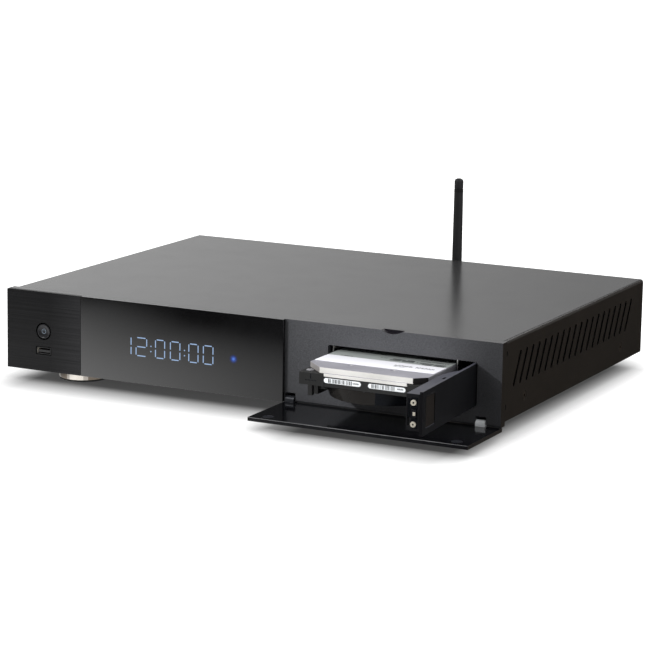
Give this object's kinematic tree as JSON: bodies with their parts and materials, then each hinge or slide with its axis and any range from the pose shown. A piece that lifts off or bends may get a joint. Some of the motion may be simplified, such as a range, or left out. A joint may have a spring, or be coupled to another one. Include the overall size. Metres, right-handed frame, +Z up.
{
  "type": "media player",
  "caption": "Full-width media player: low metal case on round feet, dark display window, drop-down flap, swing-door rack with a drive part-way out, and a stub antenna.",
  "frame": {"origin": "on the floor, centred under the whole as it stands with the flap down, the rack door open and the antenna up", "axes": "+X to the viewer's right, +Y from the front to the rear, +Z up"},
  "size_m": [0.43, 0.442, 0.1432],
  "materials": {
    "antenna_collar": "satin black",
    "antenna_jack": "gilt",
    "antenna_pivot": "plain",
    "antenna_rod": "satin black",
    "audio_jacks": "gilt sleeves on a black block",
    "backplane": "circuit board",
    "backplane_socket": "black",
    "base_pan": "satin dark grey",
    "brushed_plate": "black anodised, brushed across",
    "display_module": "dark display with pale blue digits",
    "door_hinge_pin": "ground",
    "door_screw_lower": "plated",
    "door_screw_upper": "plated",
    "drive_board": "circuit board",
    "drive_casting": "dark e-coat",
    "drive_connector": "black",
    "drive_label": "plain label, left blank",
    "drive_lid": "bright satin",
    "flap": "gloss black",
    "flap_disc_left": "plated disc",
    "flap_disc_right": "plated disc",
    "flap_pin_left": "ground",
    "flap_pin_right": "ground",
    "foot_1": "turned, champagne silver",
    "foot_2": "turned, champagne silver",
    "foot_3": "turned, champagne silver",
    "foot_4": "turned, champagne silver",
    "foot_pad_1": "matt black",
    "foot_pad_2": "matt black",
    "foot_pad_3": "matt black",
    "foot_pad_4": "matt black",
    "front_board": "circuit board",
    "front_glass": "smoked gloss window",
    "front_panel": "fine-textured dark grey paint",
    "front_usb": "plated",
    "hdmi_socket": "plated",
    "heat_sink": "anodised",
    "lan_socket": "plated",
    "latch_tongue": "grey",
    "main_board": "circuit board",
    "mains_inlet": "black with steel blades",
    "optical_socket": "black",
    "power_board": "circuit board",
    "power_button": "black anodised with a pale power symbol",
    "power_switch": "satin",
    "power_transformer": "taped core",
    "rack_cage": "zinc plated",
    "rack_door": "semi-gloss black",
    "rack_door_body": "satin black",
    "rack_guide_left": "bright",
    "rack_guide_right": "bright",
    "rear_panel": "satin black powder coat",
    "rear_usb": "plated",
    "release_paddle": "satin brownish black",
    "side_screw_front_left": "blackened",
    "side_screw_front_right": "blackened",
    "side_screw_rear_left": "blackened",
    "side_screw_rear_right": "blackened",
    "status_led": "blue, lit",
    "top_cover": "satin black powder coat"
  },
  "bodies": {
    "case": {"antenna_jack": "antenna_jack", "audio_jacks": "audio_jacks", "backplane": "backplane", "backplane_socket": "backplane_socket", "base_pan": "base_pan", "brushed_plate": "brushed_plate", "display_module": "display_module", "door_hinge_pin": "door_hinge_pin", "flap_pin_left": "flap_pin_left", "flap_pin_right": "flap_pin_right", "foot_1": "foot_1", "foot_2": "foot_2", "foot_3": "foot_3", "foot_4": "foot_4", "foot_pad_1": "foot_pad_1", "foot_pad_2": "foot_pad_2", "foot_pad_3": "foot_pad_3", "foot_pad_4": "foot_pad_4", "front_board": "front_board", "front_glass": "front_glass", "front_panel": "front_panel", "front_usb": "front_usb", "hdmi_socket": "hdmi_socket", "heat_sink": "heat_sink", "lan_socket": "lan_socket", "main_board": "main_board", "mains_inlet": "mains_inlet", "optical_socket": "optical_socket", "power_board": "power_board", "power_switch": "power_switch", "power_transformer": "power_transformer", "rack_cage": "rack_cage", "rack_guide_left": "rack_guide_left", "rack_guide_right": "rack_guide_right", "rear_panel": "rear_panel", "rear_usb": "rear_usb", "side_screw_front_left": "side_screw_front_left", "side_screw_front_right": "side_screw_front_right", "side_screw_rear_left": "side_screw_rear_left", "side_screw_rear_right": "side_screw_rear_right", "status_led": "status_led", "top_cover": "top_cover"},
    "flap_assembly": {"flap": "flap", "flap_disc_left": "flap_disc_left", "flap_disc_right": "flap_disc_right"},
    "rack_door_assembly": {"rack_door": "rack_door", "rack_door_body": "rack_door_body", "door_screw_lower": "door_screw_lower", "door_screw_upper": "door_screw_upper"},
    "release": {"release_paddle": "release_paddle"},
    "latch": {"latch_tongue": "latch_tongue"},
    "drive": {"drive_casting": "drive_casting", "drive_lid": "drive_lid", "drive_label": "drive_label", "drive_board": "drive_board", "drive_connector": "drive_connector"},
    "button": {"power_button": "power_button"},
    "antenna_base": {"antenna_collar": "antenna_collar", "antenna_pivot": "antenna_pivot"},
    "antenna": {"antenna_rod": "antenna_rod"}
  },
  "joints": [
    {"name": "flap_hinge", "type": "hinge", "parent": "case", "child": "flap_assembly", "pos_m": [0.125, -0.10944, 0.0116], "axis": [-1, 0, 0], "range_deg": [0, 13]},
    {"name": "rack_door_swing", "type": "hinge", "parent": "case", "child": "rack_door_assembly", "pos_m": [0.1923, -0.10844, 0.04125], "axis": [0, 0, -1], "range_deg": [0, 4.5]},
    {"name": "drive_slide", "type": "slide", "parent": "case", "child": "drive", "axis": [0, 1, 0], "range_m": [-0.06, 0.0689]},
    {"name": "power_button_press", "type": "slide", "parent": "case", "child": "button", "axis": [0, 1, 0], "range_m": [0, 0.0012], "stiffness_N_per_m": 1500},
    {"name": "release_press", "type": "slide", "parent": "rack_door_assembly", "child": "release", "axis": [-0.9986, -0.0523, 0], "range_m": [0, 0.0014], "stiffness_N_per_m": 1200},
    {"name": "latch_slide", "type": "slide", "parent": "rack_door_assembly", "child": "latch", "axis": [-0.0523, 0.9986, 0], "range_m": [0, 0.0021]},
    {"name": "antenna_swivel", "type": "hinge", "parent": "case", "child": "antenna_base", "pos_m": [0.0346, 0.21656, 0.05], "axis": [0, 1, 0], "range_deg": [-90, 90]},
    {"name": "antenna_tilt", "type": "hinge", "parent": "antenna_base", "child": "antenna", "pos_m": [0.0346, 0.21656, 0.05], "axis": [-1, 0, 0], "range_deg": [0, 90]}
  ],
  "couplings": [
    {"joint": "latch_slide", "follows": "release_press", "ratio": 1.5}
  ]
}
